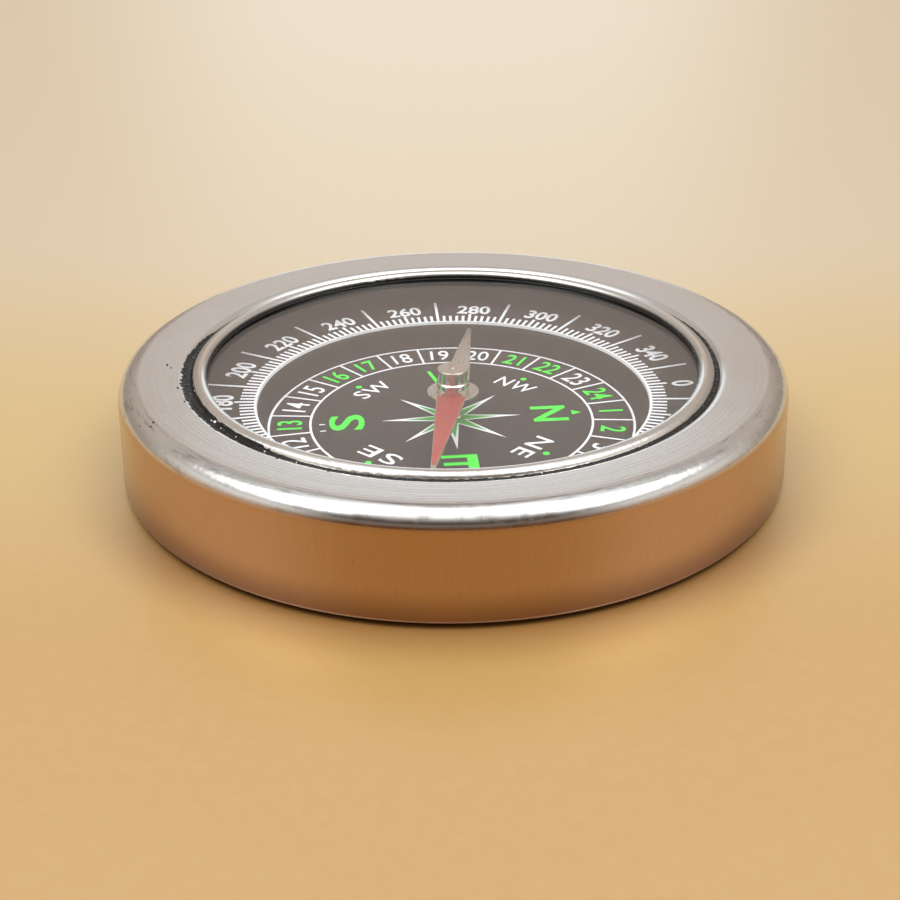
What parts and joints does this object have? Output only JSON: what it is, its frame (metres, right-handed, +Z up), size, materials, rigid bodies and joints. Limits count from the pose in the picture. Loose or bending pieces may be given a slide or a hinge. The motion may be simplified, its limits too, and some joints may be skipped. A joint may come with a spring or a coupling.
{
  "type": "pocket compass",
  "caption": "Round pocket compass in a low pressed-steel case, with a dished dial under flat glass and a magnetic needle that turns freely on a steel point.",
  "frame": {"origin": "middle of the flat foot on the back cover, where the compass rests on a table", "axes": "+Z up along the case's axis and the needle's turning axis; -Y towards the viewer of the picture; the dial's N mark lies near +X"},
  "size_m": [0.0758, 0.0758, 0.012],
  "materials": {
    "case_steel": "polished and lightly brushed stainless steel",
    "cover_steel": "satin stainless steel",
    "bezel_steel": "polished stainless steel",
    "gasket_rubber": "smooth moulded rubber",
    "sealant": "glossy black sealant with a ragged edge",
    "ring_plastic": "matt moulded plastic",
    "dial_lacquer": "dark lacquer with white and green print",
    "flat_glass": "clear flat glass",
    "plated_brass": "polished nickel plating",
    "bare_brass": "turned brass",
    "pin_steel": "ground and hardened steel",
    "needle_steel": "bare steel arm and red lacquered arm",
    "jewel": "polished synthetic ruby"
  },
  "bodies": {
    "case": {"case_shell": "case_steel", "back_cover": "cover_steel", "back_gasket": "gasket_rubber", "dial_support_ring": "ring_plastic", "dial_plate": "dial_lacquer", "dial_spacer_ring": "ring_plastic", "crystal": "flat_glass", "crystal_gasket": "gasket_rubber", "sealant_bed": "sealant", "crystal_bezel": "bezel_steel", "pivot_base": "plated_brass", "pivot_washer": "cover_steel", "pivot_nut": "bare_brass", "pivot_pin": "pin_steel"},
    "needle": {"needle_blade": "needle_steel", "needle_hub": "plated_brass", "hub_washer": "bare_brass", "cap_jewel": "jewel", "needle_cap": "plated_brass"}
  },
  "joints": [
    {"name": "needle_turn", "type": "hinge", "parent": "case", "child": "needle", "pos_m": [0, 0, 0.0083], "axis": [0, 0, 1], "continuous": true}
  ]
}
